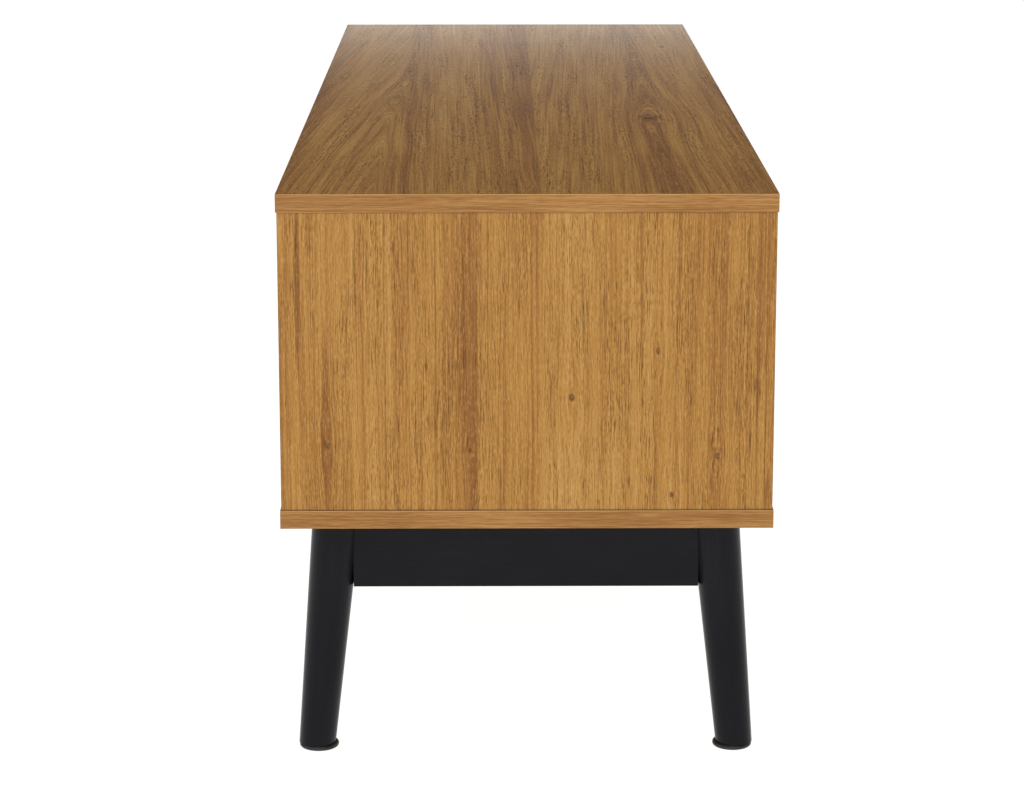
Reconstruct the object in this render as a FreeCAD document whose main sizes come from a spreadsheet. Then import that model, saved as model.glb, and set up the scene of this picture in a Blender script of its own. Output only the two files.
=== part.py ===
"""Low television cabinet: three bays, two inset doors, two black end frames with tapered legs.

Millimetres. X runs along the length, Y from the front (-Y) to the back (+Y), Z up.
The origin is on the floor below the middle of the cabinet.
"""
import FreeCAD, Part
import os
import Sketcher

# Driving dimensions: name, value, what it measures.
DIMENSIONS = [
    ("length", 1200, "top panel, end to end"),
    ("depth", 400, "top panel, front to back"),
    ("board", 15, "thickness of every laminated board"),
    ("band", 0.5, "thickness of the edge banding"),
    ("side_high", 245, "side panels and dividers, between bottom and top panel"),
    ("side_inset", 1, "side panels stand back from the top panel's edges"),
    ("leg_high", 207, "legs, glide to bottom panel"),
    ("leg_setback", 70, "leg axis from the cabinet's end"),
    ("leg_top_radius", 20.5, "leg at the bottom panel"),
    ("leg_foot_radius", 15.5, "leg at the glide"),
    ("leg_top_reach", 157, "leg axis from the middle, at the bottom panel"),
    ("leg_foot_reach", 176.5, "leg axis from the middle, at the glide"),
    ("glide_thick", 4, "plastic glide under each leg"),
    ("glide_radius", 16.5, "glide"),
    ("glide_reach", 175, "glide axis from the middle"),
    ("glide_round", 1.8, "rounding of the glide's rim"),
    ("spigot_radius", 3, "glide's spigot in the leg"),
    ("spigot_high", 14, "glide's spigot in the leg"),
    ("rail_reach", 144, "flat on the leg, where the end rail butts, from the middle"),
    ("rail_high", 68, "end rail"),
    ("rail_thick", 18, "end rail"),
    ("back_thick", 3, "back panels"),
    ("back_inset", 12, "back panels from the side panels' rear edge"),
    ("groove_deep", 5, "grooves that hold the back panels"),
    ("groove_play", 0.5, "gap between a back panel's edge and its groove's floor"),
    ("cable_radius", 25, "cable holes in the back panels"),
    ("cable_level", 60, "cable holes above the bottom panel"),
    ("shelf_play", 1, "gap beside and behind a shelf"),
    ("shelf_front", 35, "shelf's front edge behind the side panels'"),
    ("shelf_level", 115, "shelf's underside above the bottom panel"),
    ("pin_radius", 2.5, "shelf pins"),
    ("pin_deep", 6, "shelf pin in its board"),
    ("pin_reach", 8, "shelf pin under the shelf"),
    ("pin_setback", 40, "shelf pins from the shelf's front and rear edges"),
    ("pin_pitch", 32, "rows of shelf pin holes"),
    ("door_gap", 2.5, "gap all round a closed door"),
    ("door_round", 3, "rounding of the door's front edge beside its pivot"),
    ("pivot_edge", 8.5, "pivot axis from the door's edge"),
    ("pivot_radius", 3, "pivot pins"),
    ("pivot_deep", 15, "pivot pin in the door"),
    ("pivot_reach", 7.5, "pivot pin in the panel above or below"),
    ("pivot_collar", 1.2, "pivot pin's collar"),
    ("collar_radius", 6, "pivot pin's collar"),
    ("bush_play", 0.05, "radial running clearance of a pivot pin in its bush"),
    ("bush_radius", 5, "pivot bush in the panel"),
    ("bush_deep", 9, "pivot bush in the panel"),
    ("flange_radius", 7.5, "pivot bush's flange"),
    ("flange_thick", 1, "pivot bush's flange"),
    ("notch_radius", 25, "finger notch in the door's free edge"),
    ("notch_deep", 18, "finger notch in the door's free edge"),
    ("notch_drop", 62, "finger notch's middle below the door's top, clear of the shelf"),
    ("cam_radius", 7.5, "cam locks"),
    ("cam_deep", 12.5, "cam lock's bore"),
    ("cam_setback", 34, "cam lock's axis from the joint"),
    ("cam_reach", 150, "cam locks from the middle"),
    ("bolt_radius", 3, "cam bolts"),
    ("bolt_grip", 10, "cam bolt in the top or bottom panel"),
    ("bolt_play", 0.5, "clearance round a cam bolt"),
    ("dowel_radius", 4, "wooden dowels"),
    ("dowel_short", 10, "dowel in the top or bottom panel"),
    ("dowel_long", 20, "dowel in the side panel, divider, rail or leg"),
    ("dowel_reach", 90, "panel dowels from the middle"),
    ("hanger_radius", 4, "hanger bolt in the top of each leg"),
    ("hanger_low", 30, "hanger bolt in the leg"),
    ("hanger_top", 12, "hanger bolt in its insert nut"),
    ("insert_radius", 6, "insert nuts in the bottom panel"),
    ("insert_deep", 13, "insert nuts in the bottom panel"),
    ("screw_radius", 1.5, "wood screws"),
    ("screw_long", 12, "wood screws, under the head"),
    ("screw_head_radius", 3.5, "wood screws"),
    ("screw_head_high", 2, "wood screws"),
    ("bracket_arm", 30, "each arm of a steel angle bracket"),
    ("bracket_wide", 18, "angle bracket"),
    ("bracket_thick", 2, "angle bracket"),
    ("bracket_reach", 80, "angle brackets from the middle"),
    ("catch_wide", 46, "magnetic catch's housing"),
    ("catch_deep", 15, "magnetic catch's housing"),
    ("catch_high", 13, "magnetic catch's housing"),
    ("catch_edge", 60, "catch's middle from the divider"),
    ("catch_screw_reach", 18, "catch screws from the catch's middle"),
    ("magnet_wide", 24, "catch's magnet"),
    ("magnet_deep", 10, "catch's magnet"),
    ("magnet_high", 5, "catch's magnet"),
    ("pole_thick", 1.5, "steel pole plates above and below the magnet"),
    ("pole_proud", 1, "pole plates in front of the housing"),
    ("strike_wide", 34, "steel strike plate on the door"),
    ("strike_high", 24, "strike plate, lower than the catch so that its screws clear it"),
    ("strike_thick", 1.2, "strike plate"),
    ("strike_play", 0.4, "gap between a strike plate and the pole plates"),
    ("strike_drop", 0.5, "strike plate below the door's top"),
    ("strike_screw_reach", 12, "strike screws from the plate's middle"),
    ("strike_screw_drop", 18, "strike screws below the plate's top, clear of the catch"),
    ("catch_screw_sink", 9, "catch screw's head above the housing's underside"),
    ("sink_play", 0.3, "clearance round a sunk screw head"),
    ("bracket_screw", 18, "bracket screws from the bracket's corner"),
    ("rail_dowel_low", 12, "lower rail dowel above the rail's underside"),
    ("rail_dowel_high", 28, "upper rail dowel above the rail's underside"),
    ("chamfer", 1, "ends of pins, bolts and dowels"),
    ("screw_point", 2, "point of a wood screw"),
    ("recess_wide", 0.7, "driver cross in a screw head"),
    ("recess_long", 3.6, "driver cross in a screw head"),
    ("recess_deep", 1.2, "driver cross in a screw head"),
    ("cross_wide", 1.2, "driver cross in a cam lock"),
    ("cross_long", 8, "driver cross in a cam lock"),
    ("cross_deep", 1.5, "driver cross in a cam lock"),
    ("bolt_past", 2, "cam bolt's end beyond the cam lock's axis"),
    ("bolt_head", 3, "cam bolt's head, beside its neck"),
    ("bolt_neck", 5, "cam bolt's neck, with its tapers"),
]

# Places worked out from the driving dimensions, as expressions.
LEG_TOP = "(Dims.glide_thick + Dims.leg_high)"
SIDE_BASE = f"({LEG_TOP} + Dims.board)"
SIDE_TOP = f"({SIDE_BASE} + Dims.side_high)"
CABINET_TOP = f"({SIDE_TOP} + Dims.board)"
SIDE_OUT = "(Dims.length / 2 - Dims.side_inset)"
SIDE_IN = f"({SIDE_OUT} - Dims.board)"
BAY = f"((2 * {SIDE_IN} - 2 * Dims.board) / 3)"
DIVIDER_IN = f"({BAY} / 2)"
DIVIDER_OUT = f"({DIVIDER_IN} + Dims.board)"
FRONT = "(-Dims.depth / 2 + Dims.side_inset)"
REAR = f"(-{FRONT})"
BACK_REAR = f"({REAR} - Dims.back_inset)"
BACK_FRONT = f"({BACK_REAR} - Dims.back_thick)"
SHELF_BASE = f"({SIDE_BASE} + Dims.shelf_level)"
SHELF_FRONT = f"({FRONT} + Dims.shelf_front)"
SHELF_REAR = f"({BACK_FRONT} - Dims.shelf_play)"
DOOR_IN = f"({DIVIDER_OUT} + Dims.door_gap)"
DOOR_OUT = f"({SIDE_IN} - Dims.door_gap)"
DOOR_BASE = f"({SIDE_BASE} + Dims.door_gap)"
DOOR_TOP = f"({SIDE_TOP} - Dims.door_gap)"
DOOR_BACK = f"({FRONT} + Dims.board)"
PIVOT_X = f"({DOOR_OUT} - Dims.pivot_edge)"
PIVOT_Y = f"({FRONT} + Dims.board / 2)"
LEG_X = "(Dims.length / 2 - Dims.leg_setback)"
RAIL_BASE = f"({LEG_TOP} - Dims.rail_high)"
RAIL_INNER = f"({LEG_X} - Dims.rail_thick / 2)"
CATCH_X = f"({DIVIDER_OUT} + Dims.catch_edge)"
POLE_FRONT = f"({DOOR_BACK} + Dims.strike_thick + Dims.strike_play)"
CATCH_FRONT = f"({POLE_FRONT} + Dims.pole_proud)"
CATCH_SCREW_Y = f"({CATCH_FRONT} + Dims.catch_deep / 2)"
MAGNET_Z = f"({SIDE_TOP} - Dims.catch_high / 2)"
STRIKE_TOP = f"({DOOR_TOP} - Dims.strike_drop)"
STRIKE_SCREW_DEEP = "(Dims.screw_long - Dims.strike_thick)"
CATCH_BASE = f"({SIDE_TOP} - Dims.catch_high)"
SCREW_IN_TOP = "(Dims.screw_long - Dims.catch_high + Dims.catch_screw_sink)"
BRACKET_SCREW_X = f"({RAIL_INNER} - Dims.bracket_screw)"
BRACKET_SCREW_Z = f"({LEG_TOP} - Dims.bracket_screw)"
BRACKET_SCREW_DEEP = "(Dims.screw_long - Dims.bracket_thick)"

# How far a cutter runs past the face that it opens.
PAST = 1

# Lengths closer than this are the same.
SAME = 1e-6

LEFT, RIGHT = -1, 1
SIDES = {LEFT: "left", RIGHT: "right"}
UP = FreeCAD.Vector(0, 0, 1)
DIRECTIONS = {
    "+X": FreeCAD.Rotation(UP, FreeCAD.Vector(1, 0, 0)),
    "-X": FreeCAD.Rotation(UP, FreeCAD.Vector(-1, 0, 0)),
    "+Y": FreeCAD.Rotation(UP, FreeCAD.Vector(0, 1, 0)),
    "-Y": FreeCAD.Rotation(UP, FreeCAD.Vector(0, -1, 0)),
    "+Z": FreeCAD.Rotation(),
    "-Z": FreeCAD.Rotation(FreeCAD.Vector(1, 0, 0), 180),
}

doc = FreeCAD.newDocument("Cabinet")
dims = doc.addObject("Spreadsheet::Sheet", "Dims")
nodes = []


def fill_sheet():
    """Write the driving dimensions to the sheet, one aliased row each."""
    for row, (alias, value, note) in enumerate(DIMENSIONS, start=1):
        dims.set(f"A{row}", alias)
        dims.set(f"B{row}", str(value))
        dims.set(f"C{row}", note)
        dims.setAlias(f"B{row}", alias)
    doc.recompute()


# Helpers that make bound pieces ------------------------------------------------------------

def minus(value):
    """The expression's negative."""
    return f"(-{value})"


def at(value, side):
    """A distance along X on the right side, or its mirror on the left."""
    return value if side == RIGHT else minus(value)


def span(low, high, side):
    """The interval low to high on the right side, or its mirror on the left."""
    return (low, high) if side == RIGHT else (minus(high), minus(low))


def move(piece, place):
    """Bind a piece's position to three expressions."""
    for axis, value in zip("xyz", place):
        piece.setExpression(f"Placement.Base.{axis}", value)


def node(piece, label):
    """Name a finished sub-part and list it for writing."""
    piece.Label = label
    nodes.append(piece)
    return piece


def box(name, x_span, y_span, z_span):
    """Block between pairs of bound coordinates."""
    piece = doc.addObject("Part::Box", name)
    spans = (x_span, y_span, z_span)
    for size, (low, high) in zip(("Length", "Width", "Height"), spans):
        piece.setExpression(size, f"{high} - {low}")
    move(piece, [low for low, _ in spans])
    return piece


def rod(name, radius, start, long, direction="+Z"):
    """Cylinder from a start point along one axis."""
    piece = doc.addObject("Part::Cylinder", name)
    piece.Placement = FreeCAD.Placement(FreeCAD.Vector(), DIRECTIONS[direction])
    piece.setExpression("Radius", radius)
    piece.setExpression("Height", long)
    move(piece, start)
    return piece


def joined(name, pieces):
    """One tool from several, for a cut."""
    if len(pieces) == 1:
        return pieces[0]
    fuse = doc.addObject("Part::MultiFuse", name)
    fuse.Shapes = pieces
    return fuse


def boolean(kind, name, base, tool):
    """Cut or Common of two pieces."""
    result = doc.addObject(f"Part::{kind}", name)
    result.Base = base
    result.Tool = tool
    return result


def cut(name, base, tools):
    """The base less all the tools."""
    return boolean("Cut", name, base, joined(f"{name}_bores", tools))


def banded_board(name, spans, banded, bores, notch=None):
    """Laminated board and its edge banding, as two sub-parts that share the same bores.

    spans: the finished board's X, Y and Z intervals. banded: the axes whose end faces carry a band.
    notch: a pair of cutters, the finished notch and the one that the core has under the band.
    """
    whole = box(f"{name}_outline", *spans)
    cutters = bores + ([notch[0]] if notch else [])
    drilled = cut(f"{name}_drilled", whole, cutters) if cutters else whole
    inner_spans = []
    for axis, (low, high) in zip("xyz", spans):
        inner = (f"({low} + Dims.band)", f"({high} - Dims.band)")
        inner_spans.append(inner if axis in banded else (low, high))
    inner = box(f"{name}_inner", *inner_spans)
    if notch:
        inner = cut(f"{name}_inner_notched", inner, [notch[1]])
    node(boolean("Common", name, drilled, inner), name)
    node(boolean("Cut", f"{name}_edge_band", drilled, inner), f"{name}_edge_band")


def turned(name, profile):
    """Body turned about Z from corners given as (radius, height) expressions."""
    body = doc.addObject("PartDesign::Body", name)
    sketch = body.newObject("Sketcher::SketchObject", f"{name}_profile")
    plane = next(item for item in body.Origin.OriginFeatures if item.Role == "XZ_Plane")
    sketch.AttachmentSupport = (plane, [""])
    sketch.MapMode = "FlatFace"
    size = dims.evalExpression
    corners = [FreeCAD.Vector(float(size(r)), float(size(h)), 0) for r, h in profile]
    for index, corner in enumerate(corners):
        sketch.addGeometry(Part.LineSegment(corner, corners[(index + 1) % len(corners)]), False)
    for index in range(len(corners)):
        following = (index + 1) % len(corners)
        sketch.addConstraint(Sketcher.Constraint("Coincident", index, 2, following, 1))
    for index, (corner, point) in enumerate(zip(corners, profile)):
        for kind, value, expression in zip(("DistanceX", "DistanceY"), corner, point):
            if value == 0:
                line = -2 if kind == "DistanceX" else -1
                sketch.addConstraint(Sketcher.Constraint("PointOnObject", index, 1, line))
                continue
            number = sketch.addConstraint(Sketcher.Constraint(kind, -1, 1, index, 1, value))
            sketch.setExpression(f"Constraints[{number}]", expression)
    turn = body.newObject("PartDesign::Revolution", f"{name}_turn")
    turn.Profile = sketch
    turn.ReferenceAxis = (sketch, ["V_Axis"])
    turn.Angle = 360
    return body


def copies(label, master, places):
    """One sub-part of identical pieces, each at a bound place with a fixed turn."""
    links = []
    for number, (place, turn) in enumerate(places):
        link = doc.addObject("App::Link", f"{label}_{number}")
        link.LinkedObject = master
        link.Placement = FreeCAD.Placement(FreeCAD.Vector(), turn)
        move(link, place)
        links.append(link)
    group = doc.addObject("Part::Compound", label)
    group.Links = links
    return node(group, label)


# Where the panels join ---------------------------------------------------------------------

def upright_boards():
    """The four upright boards: name, side, X interval, cam face and that face's direction."""
    boards = []
    for side, word in SIDES.items():
        boards.append((f"{word}_side_panel", side, (SIDE_IN, SIDE_OUT), SIDE_IN, -side))
        boards.append((f"{word}_divider", side, (DIVIDER_IN, DIVIDER_OUT), DIVIDER_OUT, side))
    return boards


def upright_middle(side, interval):
    """X of an upright board's mid-thickness."""
    return at(f"({interval[0]} + Dims.board / 2)", side)


def joint_ends():
    """Lower and upper joint of an upright: height, inward direction, outward direction."""
    return [(SIDE_BASE, "+Z", "-Z"), (SIDE_TOP, "-Z", "+Z")]


def front_and_back(reach):
    """The Y places in front of and behind the middle."""
    return [minus(reach), reach]


def upright_bores(name, side, interval, face, normal):
    """Bores for cam locks, cam bolts and dowels in one upright board."""
    middle = upright_middle(side, interval)
    into_face = "-X" if normal > 0 else "+X"
    bores = []
    for end, inward, _ in joint_ends():
        lock_z = f"({end} {inward[0]} Dims.cam_setback)"
        for y in front_and_back("Dims.cam_reach"):
            start = (at(face, side), y, lock_z)
            bores.append(rod(f"{name}_lock", "Dims.cam_radius", start, "Dims.cam_deep", into_face))
            bores.append(rod(f"{name}_bolt", "Dims.bolt_radius + Dims.bolt_play", (middle, y, end),
                             "Dims.cam_setback", inward))
        for y in front_and_back("Dims.dowel_reach"):
            start = (middle, y, end)
            bores.append(rod(f"{name}_dowel", "Dims.dowel_radius", start, "Dims.dowel_long", inward))
    return bores


def pin_columns():
    """Y places of the shelf pins."""
    return [f"({SHELF_FRONT} + Dims.pin_setback)", f"({SHELF_REAR} - Dims.pin_setback)"]


def pin_faces():
    """Faces that carry shelf pins: board name, X of the face, direction out of the face."""
    faces = []
    for side, word in SIDES.items():
        inward, outward = ("-X", "+X") if side == RIGHT else ("+X", "-X")
        faces.append((f"{word}_side_panel", at(SIDE_IN, side), inward))
        faces.append((f"{word}_divider", at(DIVIDER_OUT, side), outward))
        faces.append((f"{word}_divider", at(DIVIDER_IN, side), inward))
    return faces


def opposite(direction):
    """The reverse of a direction word."""
    return ("-" if direction[0] == "+" else "+") + direction[1]


def pin_bores(name):
    """Three rows and two columns of shelf pin holes on each pin face of a board."""
    bores = []
    for board, x, outward in pin_faces():
        if board != name:
            continue
        for row in (-1, 0, 1):
            z = f"({SHELF_BASE} - Dims.pin_radius + {row} * Dims.pin_pitch)"
            for y in pin_columns():
                inward = opposite(outward)
                bores.append(rod(f"{name}_pin", "Dims.pin_radius", (x, y, z), "Dims.pin_deep", inward))
    return bores


def groove(name, x_span, z_span):
    """Cutter of a groove that holds the back panels."""
    return box(f"{name}_groove", x_span, (BACK_FRONT, BACK_REAR), z_span)


def panel_bores(name, face, into):
    """Holes that the top and bottom panel share: cam bolts, dowels, pivot bushes."""
    bores = []
    for _, side, interval, _, _ in upright_boards():
        middle = upright_middle(side, interval)
        for y in front_and_back("Dims.cam_reach"):
            start = (middle, y, face)
            bores.append(rod(f"{name}_bolt", "Dims.bolt_radius", start, "Dims.bolt_grip", into))
        for y in front_and_back("Dims.dowel_reach"):
            start = (middle, y, face)
            bores.append(rod(f"{name}_dowel", "Dims.dowel_radius", start, "Dims.dowel_short", into))
    for side in SIDES:
        start = (at(PIVOT_X, side), PIVOT_Y, face)
        bores.append(rod(f"{name}_bush", "Dims.bush_radius", start, "Dims.bush_deep", into))
    return bores


# Panels ------------------------------------------------------------------------------------

def top_and_bottom():
    """Top and bottom panels, the same size, banded on all four edges."""
    x_span = ("(-Dims.length / 2)", "(Dims.length / 2)")
    y_span = ("(-Dims.depth / 2)", "(Dims.depth / 2)")
    groove_x = (minus(f"({SIDE_IN} + Dims.groove_deep)"), f"({SIDE_IN} + Dims.groove_deep)")

    top_bores = panel_bores("top_panel", SIDE_TOP, "+Z")
    top_bores.append(groove("top_panel", groove_x, (SIDE_TOP, f"({SIDE_TOP} + Dims.groove_deep)")))
    for x, y in catch_screw_places():
        top_bores.append(rod("catch_screw_hole", "Dims.screw_radius", (x, y, SIDE_TOP), SCREW_IN_TOP))
    banded_board("top_panel", (x_span, y_span, (SIDE_TOP, CABINET_TOP)), "xy", top_bores)

    bottom_bores = panel_bores("bottom_panel", SIDE_BASE, "-Z")
    bottom_bores.append(groove("bottom_panel", groove_x, (f"({SIDE_BASE} - Dims.groove_deep)", SIDE_BASE)))
    for side in SIDES:
        for y in front_and_back("Dims.leg_top_reach"):
            bottom_bores.append(rod("insert_hole", "Dims.insert_radius", (at(LEG_X, side), y, LEG_TOP),
                                    "Dims.insert_deep"))
        for y in front_and_back("Dims.bracket_reach"):
            start = (at(BRACKET_SCREW_X, side), y, LEG_TOP)
            bottom_bores.append(rod("bracket_hole", "Dims.screw_radius", start, BRACKET_SCREW_DEEP))
    banded_board("bottom_panel", (x_span, y_span, (LEG_TOP, SIDE_BASE)), "xy", bottom_bores)


def uprights():
    """Side panels and dividers, banded on their front and rear edges."""
    for name, side, interval, face, normal in upright_boards():
        bores = upright_bores(name, side, interval, face, normal) + pin_bores(name)
        low, high = interval
        bores.append(groove(name, span(low, f"({low} + Dims.groove_deep)", side), (SIDE_BASE, SIDE_TOP)))
        if name.endswith("divider"):
            bores.append(groove(name, span(f"({high} - Dims.groove_deep)", high, side),
                                (SIDE_BASE, SIDE_TOP)))
        banded_board(name, (span(low, high, side), (FRONT, REAR), (SIDE_BASE, SIDE_TOP)), "y", bores)


def bays():
    """The three bays: name and X interval."""
    return [
        ("left", span(DIVIDER_OUT, SIDE_IN, LEFT)),
        ("centre", (minus(DIVIDER_IN), DIVIDER_IN)),
        ("right", span(DIVIDER_OUT, SIDE_IN, RIGHT)),
    ]


def back_panels():
    """Thin back panels in their grooves, each with a round cable hole."""
    reach = "(Dims.groove_deep - Dims.groove_play)"
    for word, (low, high) in bays():
        name = f"{word}_back_panel"
        z_span = (f"({SIDE_BASE} - {reach})", f"({SIDE_TOP} + {reach})")
        x_span = (f"({low} - {reach})", f"({high} + {reach})")
        sheet = box(f"{name}_sheet", x_span, (BACK_FRONT, BACK_REAR), z_span)
        centre = (f"(({low} + {high}) / 2)", BACK_FRONT, f"({SIDE_BASE} + Dims.cable_level)")
        hole = rod(f"{name}_hole", "Dims.cable_radius", centre, "Dims.back_thick", "+Y")
        node(cut(name, sheet, [hole]), name)


def shelves():
    """One adjustable shelf in each bay, on four steel pins."""
    for word, (low, high) in bays():
        x_span = (f"({low} + Dims.shelf_play)", f"({high} - Dims.shelf_play)")
        z_span = (SHELF_BASE, f"({SHELF_BASE} + Dims.board)")
        banded_board(f"{word}_shelf", (x_span, (SHELF_FRONT, SHELF_REAR), z_span), "y", [])
    pin = turned("shelf_pin", [
        ("0", "-Dims.pin_deep"),
        ("Dims.pin_radius", "-Dims.pin_deep"),
        ("Dims.pin_radius", "Dims.pin_reach - Dims.chamfer"),
        ("Dims.pin_radius - Dims.chamfer", "Dims.pin_reach"),
        ("0", "Dims.pin_reach"),
    ])
    z = f"({SHELF_BASE} - Dims.pin_radius)"
    places = [((x, y, z), DIRECTIONS[outward]) for _, x, outward in pin_faces() for y in pin_columns()]
    copies("shelf_pins", pin, places)


# Flat-pack fittings ------------------------------------------------------------------------

def cam_fittings():
    """Cam locks, cam bolts and dowels that join the uprights to the top and bottom panels."""
    barrel = rod("cam_barrel", "Dims.cam_radius", ("0", "0", "0"), "Dims.cam_deep - Dims.bolt_play", "-X")
    slot_start = ("-Dims.board / 2", "0", f"-Dims.bolt_radius - {PAST}")
    slot = rod("cam_slot", "Dims.bolt_radius + Dims.bolt_play", slot_start, "Dims.cam_setback")
    cross = box("cam_cross", ("-Dims.cross_deep", "0"), ("-Dims.cross_wide / 2", "Dims.cross_wide / 2"),
                ("-Dims.cross_long / 2", "Dims.cross_long / 2"))
    lock = cut("cam_lock", barrel, [slot, cross])

    end = "(-Dims.cam_setback - Dims.bolt_past)"
    neck = f"({end} + Dims.bolt_head)"
    bolt = turned("cam_bolt", [
        ("0", end),
        ("Dims.bolt_radius", end),
        ("Dims.bolt_radius", neck),
        ("Dims.bolt_radius - Dims.chamfer", f"{neck} + Dims.chamfer"),
        ("Dims.bolt_radius - Dims.chamfer", f"{neck} + Dims.bolt_neck - Dims.chamfer"),
        ("Dims.bolt_radius", f"{neck} + Dims.bolt_neck"),
        ("Dims.bolt_radius", "Dims.bolt_grip"),
        ("0", "Dims.bolt_grip"),
    ])
    dowel = dowel_body("panel_dowel", "Dims.dowel_long", "Dims.dowel_short")

    locks = []
    bolts = []
    dowels = []
    flip = DIRECTIONS["-Z"]
    half_turn = FreeCAD.Rotation(UP, 180)
    for _, side, interval, face, normal in upright_boards():
        middle = upright_middle(side, interval)
        facing = FreeCAD.Rotation() if normal > 0 else half_turn
        for joint, inward, outward in joint_ends():
            upright_turn = flip if outward == "-Z" else FreeCAD.Rotation()
            lock_z = f"({joint} {inward[0]} Dims.cam_setback)"
            for y in front_and_back("Dims.cam_reach"):
                locks.append(((at(face, side), y, lock_z), facing.multiply(upright_turn)))
                bolts.append(((middle, y, joint), upright_turn))
            for y in front_and_back("Dims.dowel_reach"):
                dowels.append(((middle, y, joint), upright_turn))
    copies("cam_locks", lock, locks)
    copies("cam_bolts", bolt, bolts)
    copies("panel_dowels", dowel, dowels)


def dowel_body(name, below, above):
    """Dowel along Z from below the joint to above it, with chamfered ends."""
    return turned(name, [
        ("0", f"-{below}"),
        ("Dims.dowel_radius - Dims.chamfer", f"-{below}"),
        ("Dims.dowel_radius", f"-{below} + Dims.chamfer"),
        ("Dims.dowel_radius", f"{above} - Dims.chamfer"),
        ("Dims.dowel_radius - Dims.chamfer", above),
        ("0", above),
    ])


def screw_master():
    """Wood screw along +Z with its head below zero, and a cross recess."""
    body = turned("wood_screw", [
        ("0", "-Dims.screw_head_high"),
        ("Dims.screw_head_radius - Dims.chamfer", "-Dims.screw_head_high"),
        ("Dims.screw_head_radius", "-Dims.screw_head_high / 2"),
        ("Dims.screw_head_radius", "0"),
        ("Dims.screw_radius", "0"),
        ("Dims.screw_radius", "Dims.screw_long - Dims.screw_point"),
        ("0", "Dims.screw_long"),
    ])
    long_way = ("-Dims.recess_long / 2", "Dims.recess_long / 2")
    narrow_way = ("-Dims.recess_wide / 2", "Dims.recess_wide / 2")
    recess_z = ("-Dims.screw_head_high", "(-Dims.screw_head_high + Dims.recess_deep)")
    slots = [
        box("recess_x", long_way, narrow_way, recess_z),
        box("recess_y", narrow_way, long_way, recess_z),
    ]
    return cut("wood_screw_driven", body, slots)


# Doors -------------------------------------------------------------------------------------

def door_bores(word, side):
    """Holes in a door for its two pivot pins and the strike plate's two screws."""
    bores = []
    for z, inward in ((DOOR_BASE, "+Z"), (DOOR_TOP, "-Z")):
        start = (at(PIVOT_X, side), PIVOT_Y, z)
        bores.append(rod(f"{word}_pivot_hole", "Dims.pivot_radius", start, "Dims.pivot_deep", inward))
    for x, z in strike_screw_places(side):
        start = (x, DOOR_BACK, z)
        bores.append(rod(f"{word}_strike_hole", "Dims.screw_radius", start, STRIKE_SCREW_DEEP, "-Y"))
    return bores


def hinge_edge_cutter(word, side):
    """Cutter that rounds the door's front edge beside its pivot."""
    corner = span(f"({DOOR_OUT} - Dims.door_round)", f"({DOOR_OUT} + {PAST})", side)
    z_span = (f"({DOOR_BASE} - {PAST})", f"({DOOR_TOP} + {PAST})")
    y_span = (f"({FRONT} - {PAST})", f"({FRONT} + Dims.door_round)")
    block = box(f"{word}_edge_block", corner, y_span, z_span)
    centre = (at(f"({DOOR_OUT} - Dims.door_round)", side), f"({FRONT} + Dims.door_round)", SIDE_BASE)
    round_bar = rod(f"{word}_edge_round", "Dims.door_round", centre, "Dims.side_high")
    return cut(f"{word}_edge_cutter", block, [round_bar])


def notch_cutters(word, side):
    """The finger notch, and the wider one that the core has under the band."""
    x = at(f"({DOOR_IN} + Dims.notch_deep - Dims.notch_radius)", side)
    start = (x, f"({FRONT} - {PAST})", f"({DOOR_TOP} - Dims.notch_drop)")
    through = f"Dims.board + {2 * PAST}"
    finished = rod(f"{word}_notch", "Dims.notch_radius", start, through, "+Y")
    core = rod(f"{word}_core_notch", "Dims.notch_radius + Dims.band", start, through, "+Y")
    return finished, core


def doors():
    """Inset doors, banded all round, each with a finger notch in its free edge."""
    for side, word in SIDES.items():
        bores = door_bores(word, side) + [hinge_edge_cutter(word, side)]
        spans = (span(DOOR_IN, DOOR_OUT, side), (FRONT, DOOR_BACK), (DOOR_BASE, DOOR_TOP))
        banded_board(f"{word}_door", spans, "xz", bores, notch_cutters(word, side))


def pivots():
    """Steel pivot pins in the doors and the nylon bushes that they turn in."""
    reach = "(Dims.door_gap + Dims.pivot_reach)"
    pin = turned("pivot_pin", [
        ("0", "-Dims.pivot_deep"),
        ("Dims.pivot_radius", "-Dims.pivot_deep"),
        ("Dims.pivot_radius", "0"),
        ("Dims.collar_radius", "0"),
        ("Dims.collar_radius", "Dims.pivot_collar"),
        ("Dims.pivot_radius", "Dims.pivot_collar"),
        ("Dims.pivot_radius", f"{reach} - Dims.chamfer"),
        ("Dims.pivot_radius - Dims.chamfer", reach),
        ("0", reach),
    ])
    bush = turned("pivot_bush", [
        ("Dims.pivot_radius + Dims.bush_play", "-Dims.flange_thick"),
        ("Dims.flange_radius", "-Dims.flange_thick"),
        ("Dims.flange_radius", "0"),
        ("Dims.bush_radius", "0"),
        ("Dims.bush_radius", "Dims.bush_deep"),
        ("Dims.pivot_radius + Dims.bush_play", "Dims.bush_deep"),
    ])
    bushes = []
    for side, word in SIDES.items():
        x = at(PIVOT_X, side)
        copies(f"{word}_pivot_pins", pin, [
            ((x, PIVOT_Y, DOOR_TOP), DIRECTIONS["+Z"]),
            ((x, PIVOT_Y, DOOR_BASE), DIRECTIONS["-Z"]),
        ])
        bushes.append(((x, PIVOT_Y, SIDE_TOP), DIRECTIONS["+Z"]))
        bushes.append(((x, PIVOT_Y, SIDE_BASE), DIRECTIONS["-Z"]))
    copies("pivot_bushes", bush, bushes)


# Magnetic catches --------------------------------------------------------------------------

def catch_screw_places():
    """X and Y of the four catch screws."""
    places = []
    for side in SIDES:
        for sign in "-+":
            places.append((at(f"({CATCH_X} {sign} Dims.catch_screw_reach)", side), CATCH_SCREW_Y))
    return places


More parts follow.
